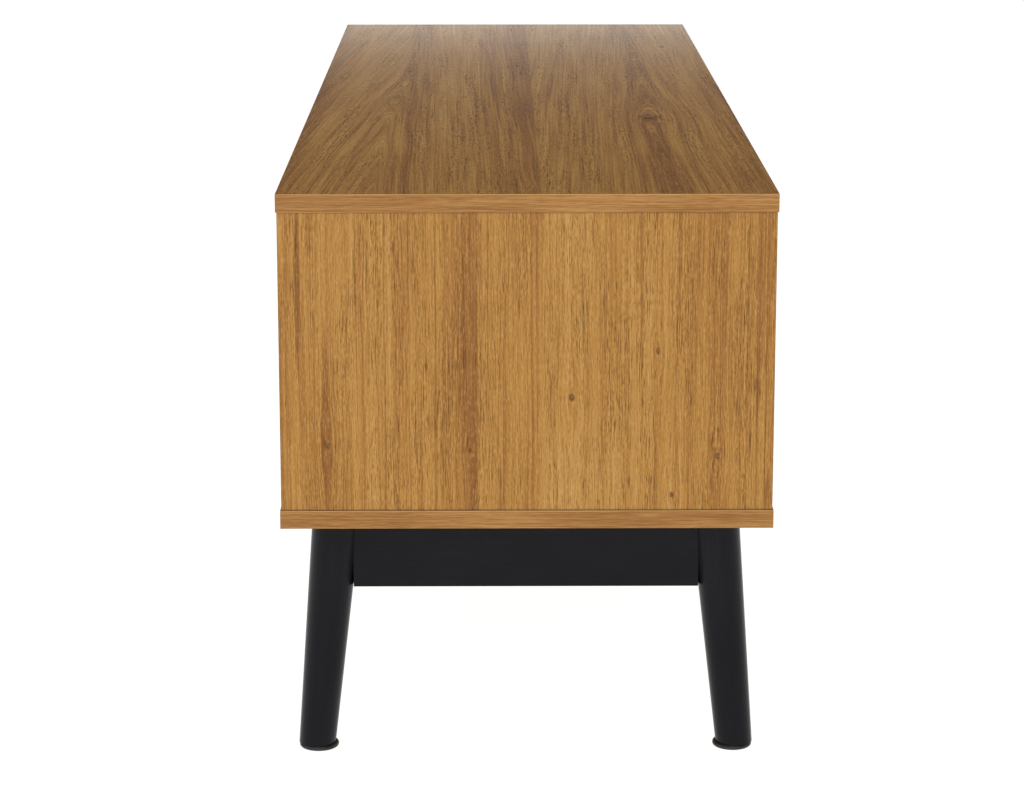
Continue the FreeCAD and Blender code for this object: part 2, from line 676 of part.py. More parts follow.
def strike_screw_places(side):
    """X and Z of a strike plate's two screws."""
    z = f"({STRIKE_TOP} - Dims.strike_screw_drop)"
    return [(at(f"({CATCH_X} {sign} Dims.strike_screw_reach)", side), z) for sign in "-+"]


def catches(screw):
    """Magnetic catches under the top panel: housing, magnet, two pole plates, screws."""
    half_stack = "(Dims.magnet_high / 2 + Dims.pole_thick)"
    stack_low = f"({MAGNET_Z} - {half_stack})"
    stack_high = f"({MAGNET_Z} + {half_stack})"
    magnet_low = f"({MAGNET_Z} - Dims.magnet_high / 2)"
    magnet_high = f"({MAGNET_Z} + Dims.magnet_high / 2)"
    magnet_x = (f"({CATCH_X} - Dims.magnet_wide / 2)", f"({CATCH_X} + Dims.magnet_wide / 2)")
    housing_x = (f"({CATCH_X} - Dims.catch_wide / 2)", f"({CATCH_X} + Dims.catch_wide / 2)")
    magnet_rear = f"({CATCH_FRONT} + Dims.magnet_deep)"
    housing_y = (CATCH_FRONT, f"({CATCH_FRONT} + Dims.catch_deep)")
    magnets = []
    poles = []
    for side, word in SIDES.items():
        name = f"{word}_catch_housing"
        block = box(f"{name}_block", span(*housing_x, side), housing_y, (CATCH_BASE, SIDE_TOP))
        pocket = box(f"{name}_pocket", span(*magnet_x, side), (CATCH_FRONT, magnet_rear),
                     (stack_low, stack_high))
        tools = [pocket]
        for sign in "-+":
            x = at(f"({CATCH_X} {sign} Dims.catch_screw_reach)", side)
            start = (x, CATCH_SCREW_Y, CATCH_BASE)
            tools.append(rod(f"{name}_shank", "Dims.screw_radius", start, "Dims.catch_high"))
            tools.append(rod(f"{name}_sink", "Dims.screw_head_radius + Dims.sink_play", start,
                             "Dims.catch_screw_sink"))
        node(cut(name, block, tools), name)
        magnets.append(box(f"{word}_magnet", span(*magnet_x, side), (CATCH_FRONT, magnet_rear),
                           (magnet_low, magnet_high)))
        for z_span in ((magnet_high, stack_high), (stack_low, magnet_low)):
            poles.append(box(f"{word}_pole", span(*magnet_x, side), (POLE_FRONT, magnet_rear), z_span))
    copies("catch_magnets", *one_group("magnet_pair", magnets))
    copies("catch_pole_plates", *one_group("pole_set", poles))
    head_z = f"({CATCH_BASE} + Dims.catch_screw_sink)"
    copies("catch_screws", screw, [((x, y, head_z), DIRECTIONS["+Z"]) for x, y in catch_screw_places()])


def one_group(name, pieces):
    """A compound of pieces that already stand in their places, and the one place for it."""
    group = doc.addObject("Part::Compound", name)
    group.Links = pieces
    return group, [(("0", "0", "0"), FreeCAD.Rotation())]


def strikes(screw):
    """Steel strike plates on the backs of the doors, each with two screws."""
    x_span = (f"({CATCH_X} - Dims.strike_wide / 2)", f"({CATCH_X} + Dims.strike_wide / 2)")
    rear = f"({DOOR_BACK} + Dims.strike_thick)"
    for side, word in SIDES.items():
        name = f"{word}_strike_plate"
        plate = box(f"{name}_blank", span(*x_span, side), (DOOR_BACK, rear),
                    (f"({STRIKE_TOP} - Dims.strike_high)", STRIKE_TOP))
        holes = []
        for x, z in strike_screw_places(side):
            holes.append(rod(f"{name}_hole", "Dims.screw_radius", (x, rear, z), "Dims.strike_thick", "-Y"))
        node(cut(name, plate, holes), name)
        places = [((x, rear, z), DIRECTIONS["-Y"]) for x, z in strike_screw_places(side)]
        copies(f"{word}_strike_screws", screw, places)


# Base --------------------------------------------------------------------------------------

def leg(name, x, side_y):
    """Tapered round leg that leans outwards, with a flat at the top for the end rail."""
    sections = []
    for level, radius, reach in (("Dims.glide_thick", "Dims.leg_foot_radius", "Dims.leg_foot_reach"),
                                 (LEG_TOP, "Dims.leg_top_radius", "Dims.leg_top_reach")):
        ring = doc.addObject("Part::Circle", f"{name}_ring")
        ring.setExpression("Radius", radius)
        move(ring, (x, at(reach, side_y), level))
        sections.append(ring)
    cone = doc.addObject("Part::Loft", f"{name}_cone")
    cone.Sections = sections
    cone.Solid = True
    cone.Ruled = True
    flat_y = span("(Dims.rail_reach - 2 * Dims.leg_top_radius)", "Dims.rail_reach", side_y)
    flat_x = (f"({x} - 2 * Dims.leg_top_radius)", f"({x} + 2 * Dims.leg_top_radius)")
    flat = box(f"{name}_flat", flat_x, flat_y, (RAIL_BASE, f"({LEG_TOP} + {PAST})"))
    outwards = "+Y" if side_y == RIGHT else "-Y"
    tools = [flat]
    hanger_start = (x, at("Dims.leg_top_reach", side_y), f"({LEG_TOP} - Dims.hanger_low)")
    tools.append(rod(f"{name}_hanger", "Dims.hanger_radius", hanger_start, "Dims.hanger_low"))
    spigot_start = (x, at("Dims.glide_reach", side_y), "Dims.glide_thick")
    tools.append(rod(f"{name}_spigot", "Dims.spigot_radius", spigot_start, "Dims.spigot_high"))
    for z in rail_dowel_levels():
        start = (x, at("Dims.rail_reach", side_y), z)
        tools.append(rod(f"{name}_dowel", "Dims.dowel_radius", start, "Dims.dowel_long", outwards))
    node(cut(name, cone, tools), name)


def rail_dowel_levels():
    """Heights of the two dowels between a rail and a leg."""
    return [f"({RAIL_BASE} + Dims.rail_dowel_low)", f"({RAIL_BASE} + Dims.rail_dowel_high)"]


def legs_and_glides():
    """Four legs, and under each a round plastic glide with a spigot in the leg."""
    glide = turned("glide_blank", [
        ("0", "0"),
        ("Dims.glide_radius", "0"),
        ("Dims.glide_radius", "Dims.glide_thick"),
        ("Dims.spigot_radius", "Dims.glide_thick"),
        ("Dims.spigot_radius", "Dims.glide_thick + Dims.spigot_high"),
        ("0", "Dims.glide_thick + Dims.spigot_high"),
    ])
    doc.recompute()
    disc = glide.Tip
    rim = glide.newObject("PartDesign::Fillet", "glide_rim")
    outer = float(dims.evalExpression("Dims.glide_radius"))
    names = [f"Edge{number}" for number, edge in enumerate(disc.Shape.Edges, start=1)
             if isinstance(edge.Curve, Part.Circle) and abs(edge.Curve.Radius - outer) < SAME]
    rim.Base = (disc, names)
    rim.setExpression("Radius", "Dims.glide_round")
    glide.Tip = rim
    for side, word in SIDES.items():
        for side_y, end in ((-1, "front"), (1, "rear")):
            x = at(LEG_X, side)
            leg(f"{word}_{end}_leg", x, side_y)
            place = (x, at("Dims.glide_reach", side_y), "0")
            copies(f"{word}_{end}_glide", glide, [(place, FreeCAD.Rotation())])


def end_rails(screw):
    """End rails between the legs, with dowels into the legs and angle brackets to the bottom panel."""
    dowel = dowel_body("rail_dowel", "Dims.dowel_long", "Dims.dowel_long")
    dowels = []
    brackets = []
    screws = []
    for side, word in SIDES.items():
        name = f"{word}_end_rail"
        x = at(LEG_X, side)
        inner = at(RAIL_INNER, side)
        outwards = "+X" if side == RIGHT else "-X"
        x_span = span(RAIL_INNER, f"({RAIL_INNER} + Dims.rail_thick)", side)
        y_span = (minus("Dims.rail_reach"), "Dims.rail_reach")
        blank = box(f"{name}_blank", x_span, y_span, (RAIL_BASE, LEG_TOP))
        tools = []
        for y, inward in ((minus("Dims.rail_reach"), "+Y"), ("Dims.rail_reach", "-Y")):
            for z in rail_dowel_levels():
                start = (x, y, z)
                tools.append(rod(f"{name}_dowel", "Dims.dowel_radius", start, "Dims.dowel_long", inward))
                dowels.append((start, DIRECTIONS[inward]))
        for y in front_and_back("Dims.bracket_reach"):
            start = (inner, y, BRACKET_SCREW_Z)
            tools.append(rod(f"{name}_screw", "Dims.screw_radius", start, BRACKET_SCREW_DEEP, outwards))
            brackets.append(angle_bracket(f"{name}_bracket", side, y))
            face_x = at(f"({RAIL_INNER} - Dims.bracket_thick)", side)
            screws.append(((face_x, y, BRACKET_SCREW_Z), DIRECTIONS[outwards]))
            face_z = f"({LEG_TOP} - Dims.bracket_thick)"
            screws.append(((at(BRACKET_SCREW_X, side), y, face_z), DIRECTIONS["+Z"]))
        node(cut(name, blank, tools), name)
    copies("rail_dowels", dowel, dowels)
    copies("angle_brackets", *one_group("bracket_set", brackets))
    copies("bracket_screws", screw, screws)


def angle_bracket(name, side, y):
    """Steel angle between a rail's inner face and the bottom panel's underside."""
    y_span = (f"({y} - Dims.bracket_wide / 2)", f"({y} + Dims.bracket_wide / 2)")
    outer_x = span(f"({RAIL_INNER} - Dims.bracket_arm)", RAIL_INNER, side)
    hollow_x = span(f"({RAIL_INNER} - Dims.bracket_arm - {PAST})",
                    f"({RAIL_INNER} - Dims.bracket_thick)", side)
    block = box(f"{name}_block", outer_x, y_span, (f"({LEG_TOP} - Dims.bracket_arm)", LEG_TOP))
    hollow = box(f"{name}_hollow", hollow_x, y_span,
                 (f"({LEG_TOP} - Dims.bracket_arm - {PAST})", f"({LEG_TOP} - Dims.bracket_thick)"))
    towards_rail = "+X" if side == RIGHT else "-X"
    through = f"Dims.bracket_thick + {2 * PAST}"
    wall_start = (at(f"({RAIL_INNER} - Dims.bracket_thick - {PAST})", side), y, BRACKET_SCREW_Z)
    roof_start = (at(BRACKET_SCREW_X, side), y, f"({LEG_TOP} - Dims.bracket_thick - {PAST})")
    tools = [
        hollow,
        rod(f"{name}_wall_hole", "Dims.screw_radius", wall_start, through, towards_rail),
        rod(f"{name}_roof_hole", "Dims.screw_radius", roof_start, through),
    ]
    return cut(name, block, tools)


def hanger_fittings():
    """Hanger bolts in the legs' tops and the insert nuts in the bottom panel that take them."""
    bolt = turned("hanger_bolt", [
        ("0", "-Dims.hanger_low"),
        ("Dims.hanger_radius", "-Dims.hanger_low"),
        ("Dims.hanger_radius", "Dims.hanger_top - Dims.chamfer"),
        ("Dims.hanger_radius - Dims.chamfer", "Dims.hanger_top"),
        ("0", "Dims.hanger_top"),
    ])
    nut = turned("insert_nut", [
        ("Dims.hanger_radius", "0"),
        ("Dims.insert_radius", "0"),
        ("Dims.insert_radius", "Dims.insert_deep"),
        ("Dims.hanger_radius", "Dims.insert_deep"),
    ])
    places = []
    for side in SIDES:
        for y in front_and_back("Dims.leg_top_reach"):
            places.append(((at(LEG_X, side), y, LEG_TOP), FreeCAD.Rotation()))
    copies("hanger_bolts", bolt, places)
    copies("insert_nuts", nut, places)


# Build, check and write --------------------------------------------------------------------

def check_document():
    """Stop if any object failed or any sub-part has no valid shape."""
    doc.recompute()
    failed = [item.Label for item in doc.Objects if "Invalid" in item.State or "Error" in item.State]
    broken = [item.Label for item in nodes if item.Shape.isNull() or not item.Shape.isValid()]
    if failed or broken:
        raise RuntimeError(f"failed objects {failed}, broken shapes {broken}")


def write_parts():
    """Write each sub-part to its own file."""
    os.makedirs("parts", exist_ok=True)
    for item in nodes:
        item.Shape.exportStep(os.path.join("parts", f"{item.Label}.step"))
        print(f"{item.Label}: {len(item.Shape.Solids)} solid(s), {item.Shape.Volume / 1000:.2f} cm3")


fill_sheet()
wood_screw = screw_master()
top_and_bottom()
uprights()
back_panels()
shelves()
cam_fittings()
doors()
pivots()
catches(wood_screw)
strikes(wood_screw)
legs_and_glides()
end_rails(wood_screw)
hanger_fittings()
check_document()
write_parts()
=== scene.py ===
"""Looks of the television stand: wood-grain laminate, edge banding, black lacquer and metal fittings."""
import math

import bpy
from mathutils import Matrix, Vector


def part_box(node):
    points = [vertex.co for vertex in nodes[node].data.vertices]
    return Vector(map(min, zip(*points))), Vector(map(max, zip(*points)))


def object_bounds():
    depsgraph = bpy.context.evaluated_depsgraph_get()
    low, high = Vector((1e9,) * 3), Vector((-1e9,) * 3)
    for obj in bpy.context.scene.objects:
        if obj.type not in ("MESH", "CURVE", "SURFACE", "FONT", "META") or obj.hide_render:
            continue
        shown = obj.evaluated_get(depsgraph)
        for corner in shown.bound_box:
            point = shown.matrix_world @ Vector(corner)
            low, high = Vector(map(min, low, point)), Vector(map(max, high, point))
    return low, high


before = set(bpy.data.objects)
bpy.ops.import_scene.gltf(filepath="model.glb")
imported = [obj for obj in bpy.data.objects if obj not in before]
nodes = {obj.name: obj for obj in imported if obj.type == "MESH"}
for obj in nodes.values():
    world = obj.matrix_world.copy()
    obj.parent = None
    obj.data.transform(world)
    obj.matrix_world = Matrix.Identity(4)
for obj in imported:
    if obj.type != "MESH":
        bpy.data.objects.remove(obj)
cad_low, cad_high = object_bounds()


# Colours, linear ---------------------------------------------------------------------------

def linear(red, green, blue):
    """Linear colour with alpha from 0 to 255 display values, by the sRGB curve."""
    def channel(value):
        value = value / 255
        return value / 12.92 if value <= 0.04045 else ((value + 0.055) / 1.055) ** 2.4
    return (channel(red), channel(green), channel(blue), 1.0)


PORE = linear(100, 61, 20)
HEART = linear(78, 48, 20)
BARK = linear(124, 79, 22)
UMBER = linear(138, 87, 35)
RUSSET = linear(161, 107, 47)
HONEY = linear(187, 134, 62)
STRAW = linear(208, 161, 90)
CREAM = linear(222, 178, 110)

OAK_COLOURS = [(0.0, UMBER), (0.28, RUSSET), (0.56, HONEY), (1.0, STRAW)]
OAK_BACK_COLOURS = [(0.30, UMBER), (0.48, RUSSET), (0.70, HONEY)]
BANDING_COLOURS = [(0.42, linear(133, 83, 34)), (0.62, linear(167, 114, 53)), (0.84, linear(193, 142, 77))]
FIBRE_COLOURS = [(0.30, linear(96, 68, 44)), (0.52, linear(124, 92, 62)), (0.75, linear(146, 113, 79))]
LACQUER_COLOURS = [(0.30, linear(15, 15, 19)), (0.52, linear(20, 20, 25)), (0.74, linear(27, 27, 33))]
BEECH_COLOURS = [(0.35, linear(178, 140, 98)), (0.65, linear(214, 182, 140))]
FERRITE_COLOURS = [(0.3, linear(38, 38, 40)), (0.7, linear(66, 66, 68))]
FLOOR_GREYS = [(0.3, 0.27), (0.7, 0.29)]
DUST = linear(90, 90, 92)
BLACK_PLASTIC = (linear(24, 24, 25), linear(34, 34, 35))
NYLON = (linear(214, 212, 202), linear(230, 228, 220))
ZINC_PLATE = (linear(150, 152, 156), linear(200, 202, 206))
CAST_ZINC = (linear(120, 121, 124), linear(158, 160, 163))
WHITE = (1.0, 1.0, 1.0)
WARM_WHITE = (1.0, 0.96, 0.90)


# Node graph helper -------------------------------------------------------------------------

NODE_WIDTH = 180
NODE_HEIGHT = 260
NODES_IN_ROW = 12
NOISE_MIDDLE = 0.5


class Graph:
    """A new material's node tree, with short calls that add a node or a few."""

    def __init__(self, name):
        self.material = bpy.data.materials.new(name)
        self.material.use_nodes = True
        self.tree = self.material.node_tree
        self.tree.nodes.clear()
        self.shader = self.node("ShaderNodeBsdfPrincipled")
        output = self.node("ShaderNodeOutputMaterial")
        self.tree.links.new(self.shader.outputs[0], output.inputs["Surface"])

    def node(self, kind, inputs=None, **settings):
        """Add a node. inputs maps a socket's name or index to a value or to another node's output."""
        made = self.tree.nodes.new(kind)
        row, column = divmod(len(self.tree.nodes), NODES_IN_ROW)
        made.location = (NODE_WIDTH * column, -NODE_HEIGHT * row)
        for key, value in settings.items():
            setattr(made, key, value)
        for key, value in (inputs or {}).items():
            self.feed(made.inputs[key], value)
        return made

    def feed(self, socket, value):
        """Link an output to a socket, or set the socket's own value."""
        if isinstance(value, bpy.types.NodeSocket):
            self.tree.links.new(value, socket)
        else:
            socket.default_value = value

    def math(self, operation, first, second=0.0, clamp=False):
        """One arithmetic node's output."""
        made = self.node("ShaderNodeMath", {0: first, 1: second}, operation=operation, use_clamp=clamp)
        return made.outputs[0]

    def add(self, first, second):
        """Sum of two values."""
        return self.math("ADD", first, second)

    def minus(self, first, second):
        """First value less the second."""
        return self.math("SUBTRACT", first, second)

    def times(self, first, second):
        """Product of two values."""
        return self.math("MULTIPLY", first, second)

    def larger(self, first, second):
        """The larger of two values."""
        return self.math("MAXIMUM", first, second)

    def swing(self, noise, amount):
        """A noise about zero, times an amount."""
        return self.times(self.minus(noise, NOISE_MIDDLE), amount)

    def above(self, value, limit, gain):
        """How far a value is above a limit, times a gain, kept within 0 and 1."""
        return self.math("MULTIPLY", self.minus(value, limit), gain, clamp=True)

    def below(self, value, limit, gain):
        """How far a value is below a limit, times a gain, kept within 0 and 1."""
        return self.math("MULTIPLY", self.minus(limit, value), gain, clamp=True)

    def noise(self, vector, scale, detail=2.0, rough=0.5, distortion=0.0):
        """Noise value, about 0 to 1."""
        inputs = {"Vector": vector, "Scale": scale, "Detail": detail, "Roughness": rough,
                  "Distortion": distortion}
        return self.node("ShaderNodeTexNoise", inputs).outputs["Fac"]

    def streaks(self, parts, along, across, through=None, **settings):
        """Noise drawn out along the grain, with so many features per metre along, across and through it."""
        scales = (along, across, across if through is None else through)
        vector = self.combine(*[self.times(part, scale) for part, scale in zip(parts, scales)])
        return self.noise(vector, 1.0, **settings)

    def combine(self, x, y, z):
        """Vector from three values."""
        return self.node("ShaderNodeCombineXYZ", {0: x, 1: y, 2: z}).outputs[0]

    def split(self, vector):
        """Three values from a vector."""
        return list(self.node("ShaderNodeSeparateXYZ", {0: vector}).outputs)

    def ramp(self, value, stops):
        """Colour ramp node's output. stops: position and grey value or colour."""
        made = self.node("ShaderNodeValToRGB", {0: value})
        elements = made.color_ramp.elements
        while len(elements) < len(stops):
            elements.new(0.5)
        for element, (position, colour) in zip(elements, stops):
            element.position = position
            element.color = colour if isinstance(colour, tuple) else (colour, colour, colour, 1.0)
        return made.outputs["Color"]

    def smooth(self, value, low, high, start=0.0, end=1.0):
        """Smooth step of a value from low..high to start..end."""
        inputs = {"Value": value, "From Min": low, "From Max": high, "To Min": start, "To Max": end}
        return self.node("ShaderNodeMapRange", inputs, interpolation_type="SMOOTHSTEP").outputs["Result"]

    def mix(self, factor, first, second, plain=False):
        """Mix of two colours, or of two plain values."""
        made = self.node("ShaderNodeMix", data_type="FLOAT" if plain else "RGBA", clamp_factor=True)
        first_socket, second_socket, output = (2, 3, 0) if plain else (6, 7, 2)
        self.feed(made.inputs["Factor"], factor)
        self.feed(made.inputs[first_socket], first)
        self.feed(made.inputs[second_socket], second)
        return made.outputs[output]

    def bump(self, height, distance, strength):
        """Bump node's normal. distance: metres of relief for a height of 1."""
        inputs = {"Height": height, "Distance": distance, "Strength": strength}
        return self.node("ShaderNodeBump", inputs).outputs["Normal"]

    def place(self):
        """Object coordinates in metres, as three values."""
        return self.split(self.node("ShaderNodeTexCoord").outputs["Object"])

    def facing(self):
        """The way the surface faces along the object's own axes, as three values."""
        normal = self.node("ShaderNodeNewGeometry").outputs["Normal"]
        turned = self.node("ShaderNodeVectorTransform", {0: normal}, vector_type="NORMAL",
                           convert_from="WORLD", convert_to="OBJECT")
        return self.split(turned.outputs[0])

    def finish(self, colour, roughness, normal=None, **constants):
        """Feed the shader and return the material."""
        self.feed(self.shader.inputs["Base Color"], colour)
        self.feed(self.shader.inputs["Roughness"], roughness)
        if normal is not None:
            self.feed(self.shader.inputs["Normal"], normal)
        for key, value in constants.items():
            self.shader.inputs[key.replace("_", " ")].default_value = value
        return self.material


# Wood-grain laminate -----------------------------------------------------------------------

# The object's axes along the grain, across it and through the board, for each way the grain can run. A door
# stands upright, and its grain runs across the stand.
GRAIN = {"x": (0, 1, 2), "y": (1, 0, 2), "z": (2, 1, 0), "door": (0, 2, 1)}

# Tone across the printed boards, from one edge to the other: 0 dark umber, 1 straw. Two stops close together
# are a seam between two staves.
END_TONES = [
    (0.00, 0.50), (0.10, 0.52), (0.18, 0.60), (0.235, 0.56), (0.25, 0.42), (0.27, 0.58),
    (0.315, 0.54), (0.35, 0.36), (0.399, 0.12), (0.403, 0.60), (0.45, 0.58), (0.468, 0.42),
    (0.478, 0.56), (0.515, 0.38), (0.545, 0.62), (0.64, 0.66), (0.672, 0.46), (0.70, 0.60),
    (0.78, 0.56), (0.86, 0.46), (0.899, 0.16), (0.903, 0.58), (1.00, 0.50),
]
TOP_TONES = [
    (0.00, 0.30), (0.03, 0.48), (0.10, 0.56), (0.20, 0.50), (0.238, 0.36), (0.252, 0.24),
    (0.275, 0.46), (0.33, 0.60), (0.40, 0.56), (0.435, 0.38), (0.46, 0.48), (0.485, 0.28),
    (0.527, 0.14), (0.531, 0.62), (0.58, 0.56), (0.66, 0.52), (0.73, 0.44), (0.775, 0.34),
    (0.81, 0.30), (0.85, 0.48), (0.93, 0.52), (1.00, 0.36),
]
PRINT_WIDTH = 0.4
MIDDLE_TONE = 0.54
CALM_WAVE = 0.008
WIDE_WAVE = 0.014

# How strongly each layer of the print shows.
CLOUD_SWING = 0.40
STREAK_SWING = 0.68
LINE_SWING = 1.00
SHORT_DASHES = 0.45
DASH_DARK_BELOW = 0.49
DASH_PALE_ABOVE = 0.52
DASH_GAIN = 8.5
DASH_DEPTH = 0.34
PORE_GAIN = 9.0
PORE_DEPTH = 0.88
FINE_PORE_DEPTH = 0.75
VEIN_DEPTH = 0.45
# Painted shade: how dark the fine line of painted shade is where a board meets others.
JOINT_SHADE_DEPTH = 0.34

# Sizes in metres.
# Where the painted shade at a board's joints begins and ends, measured in from the board's end.
JOINT_SHADE_OUTER = 0.0014
JOINT_SHADE_INNER = 0.0004
ARCH_EDGE = 0.001

# An oval patch fades out between these squares of the distance from its middle, 1 being its own edge.
OVAL_FADE = (1.4, 0.2)

# A knot's grain swerves round it, over an oval that is longer than wide. Its heart is a ragged dark ring.
SWERVE = 0.62
SWERVE_LENGTH = 3.5
HEART_RING = 0.4
HEART_SHARPNESS = -2.6
HEART_RAGGED = 1.6
HEART_DEPTH = 0.75


def oak(name, grain, tones, shift=(0.0, 0.0), wave=CALM_WAVE, arches=(), knots=(), crinkles=(), stains=(),
        ends=None, lined=0.9, dashed=1.0, fading=0.6):
    """Golden oak laminate.

    grain: the way the grain runs, a key of GRAIN. tones: the staves, from edge to edge. shift: slides the
    print along and across, in metres. wave: how far the grain wanders sideways. arches: see flow().
    knots: each (along, across, half_length, half_width, bulge), the dark heart's half sizes and the radius
    of the grain that swerves round it. crinkles: oval patches of wavy flecks, and stains: oval patches with
    a change of tone, each (along, across, half_length, half_width, amount). ends: where the board meets
    others along the grain, with a fine line of painted shade there. lined, dashed: strength of long lines
    and of short dashes. fading: how much the tones fade in and out along the grain.
    """
    graph = Graph(name)
    place = graph.place()
    along, across, through = [place[axis] for axis in GRAIN[grain]]
    along = graph.add(along, shift[0])
    across = graph.add(across, shift[1])
    straight = (along, across, through)
    bent, flowing = flow(graph, straight, wave, arches, knots)
    wood = (along, bent, through)
    lines = (along, flowing, through)

    tone = stave_tone(graph, wood, across, tones, stains, fading)
    streak = graph.streaks(lines, along=2.2, across=170.0, detail=3.0, rough=0.6)
    layers = [
        (graph.streaks(wood, along=4.0, across=26.0, detail=3.0), CLOUD_SWING),
        (streak, STREAK_SWING * lined),
        (graph.streaks(lines, along=5.0, across=560.0, rough=0.6), LINE_SWING * lined),
    ]
    for layer, amount in layers:
        tone = graph.add(tone, graph.swing(layer, amount))
    colour = graph.ramp(tone, OAK_COLOURS)

    pores, density = open_pores(graph, lines)
    dash = dashes(graph, wood, lines, crinkles)
    dark = graph.below(dash, DASH_DARK_BELOW, DASH_GAIN)
    pale = graph.above(dash, DASH_PALE_ABOVE, DASH_GAIN)
    depth = DASH_DEPTH * dashed
    dark_depth = graph.add(depth, graph.times(density, depth))
    colour = graph.mix(graph.times(dark, dark_depth), colour, BARK)
    colour = graph.mix(graph.times(pale, depth), colour, CREAM)
    colour = graph.mix(graph.times(pores, PORE_DEPTH), colour, PORE)
    colour = graph.mix(veins(graph, lines, streak), colour, PORE)
    if knots:
        colour = graph.mix(knot_hearts(graph, straight, knots), colour, HEART)
    # Painted shade: a fine dark line at the board's ends, where other boards meet it.
    if ends:
        colour = graph.mix(graph.times(joint_shade_lines(graph, along, ends), JOINT_SHADE_DEPTH), colour, HEART)

    height = graph.minus(graph.times(dash, 0.2), pores)
    roughness = graph.add(0.275, graph.times(pores, 0.10))
    relief = graph.bump(height, distance=0.00008, strength=0.3)
    return graph.finish(colour, roughness, relief, IOR=1.45, Specular_IOR_Level=0.24)


def stave_tone(graph, wood, across, tones, stains, fading):
    """Tone of the staves, which fades towards the middle tone in places, and of the stains."""
    spot = graph.add(graph.math("DIVIDE", across, PRINT_WIDTH), 0.5)
    tone = graph.ramp(graph.math("PINGPONG", spot, 1.0), tones)
    fade = graph.smooth(graph.streaks(wood, along=3.4, across=11.0), 0.42, 0.66, 0.0, fading)
    tone = graph.mix(fade, tone, MIDDLE_TONE, plain=True)
    for *patch, amount in stains:
        tone = graph.add(tone, graph.times(oval(graph, wood, patch), amount))
    return tone


def dashes(graph, wood, lines, crinkles):
    """Fine long and short dashes along the grain, with wavy flecks inside the crinkled patches."""
    long_dash = graph.streaks(lines, along=52.0, across=1150.0, rough=0.6)
    short_dash = graph.streaks(lines, along=230.0, across=980.0, detail=1.0)
    dash = graph.mix(SHORT_DASHES, long_dash, short_dash, plain=True)
    for *patch, amount in crinkles:
        inside = graph.times(oval(graph, wood, patch), amount)
        fleck = graph.streaks(wood, along=130.0, across=360.0, rough=0.65, distortion=1.1)
        dash = graph.mix(inside, dash, fleck, plain=True)
    return dash


def veins(graph, lines, streak):
    """Thin dark lines along the grain, where the streaks are dark."""
    vein = graph.streaks(lines, along=2.6, across=150.0, detail=1.0)
    off_line = graph.math("ABSOLUTE", graph.minus(vein, NOISE_MIDDLE))
    dark_streak = graph.smooth(streak, 0.50, 0.36, 0.0, VEIN_DEPTH)
    return graph.times(graph.smooth(off_line, 0.020, 0.004), dark_streak)


def joint_shade_lines(graph, along, ends):
    """1 in the fine lines of painted shade where the board meets others, at its low and high end."""
    low_end, high_end = ends
    return graph.larger(graph.smooth(along, high_end - JOINT_SHADE_OUTER, high_end - JOINT_SHADE_INNER),
                        graph.smooth(along, low_end + JOINT_SHADE_OUTER, low_end + JOINT_SHADE_INNER))


def far_square(graph, wood, along, across, half_length, half_width):
    """Square of the distance from a point, 1 on the oval with these half sizes."""
    square = 0.0
    for part, middle, half_size in ((wood[0], along, half_length), (wood[1], across, half_width)):
        far = graph.math("DIVIDE", graph.minus(part, middle), half_size)
        square = graph.add(square, graph.times(far, far))
    return square


def oval(graph, wood, patch):
    """1 inside an oval patch (along, across, half_length, half_width), soft towards its edge."""
    return graph.smooth(far_square(graph, wood, *patch), *OVAL_FADE)


def knot_hearts(graph, wood, knots):
    """Dark of the ragged ring at each knot's heart."""
    ragged = graph.swing(graph.streaks(wood, along=260.0, across=700.0, detail=1.0), HEART_RAGGED)
    hearts = 0.0
    for along, across, half_length, half_width, _ in knots:
        square = graph.add(ragged, far_square(graph, wood, along, across, half_length, half_width))
        off_ring = graph.minus(square, HEART_RING)
        ring = graph.math("EXPONENT", graph.times(graph.times(off_ring, off_ring), HEART_SHARPNESS))
        hearts = graph.larger(hearts, graph.times(ring, HEART_DEPTH))
    return hearts


def flow(graph, wood, wave, arches, knots):
    """Where the grain runs: the across value with its slow wander and swerves, and the same with arches.

    An arch is (middle, blunt, low_spread, high_spread, low_end, high_end) across the grain, in metres:
    growth rings nested about its middle, which spread by so much per metre along.
    """
    along, across, _ = wood
    drift = graph.streaks(wood, along=2.3, across=7.0)
    bent = graph.add(across, graph.swing(drift, wave))
    for knot_along, knot_across, _, _, bulge in knots:
        square = far_square(graph, wood, knot_along, knot_across, SWERVE_LENGTH * bulge, bulge)
        near = graph.math("EXPONENT", graph.times(square, -0.5))
        to_across = graph.minus(across, knot_across)
        bent = graph.minus(bent, graph.times(graph.times(near, to_across), SWERVE))
    flowing = bent
    for middle, blunt, low_spread, high_spread, low_end, high_end in arches:
        away = graph.minus(bent, middle)
        reach = graph.math("SQRT", graph.add(graph.times(away, away), blunt * blunt))
        spread = graph.smooth(away, -blunt, blunt, low_spread, high_spread)
        nested = graph.minus(reach, graph.times(spread, along))
        inside = graph.times(graph.smooth(bent, low_end, low_end + ARCH_EDGE),
                             graph.smooth(bent, high_end, high_end - ARCH_EDGE))
        flowing = graph.mix(inside, flowing, nested, plain=True)
    return bent, flowing


def open_pores(graph, wood):
    """Short dark pores along the grain, denser in some bands. Returns the pores and the density."""
    density = graph.smooth(graph.streaks(wood, along=5.0, across=60.0), 0.40, 0.62)
    fine = graph.streaks(wood, along=62.0, across=1150.0, detail=1.0)
    fine = graph.above(fine, graph.minus(0.65, graph.times(density, 0.09)), PORE_GAIN)
    coarse = graph.streaks(wood, along=30.0, across=760.0, through=900.0, detail=1.0)
    coarse = graph.above(coarse, graph.minus(0.70, graph.times(density, 0.07)), PORE_GAIN)
    return graph.larger(graph.times(fine, FINE_PORE_DEPTH), coarse), density


# Edge banding ------------------------------------------------------------------------------

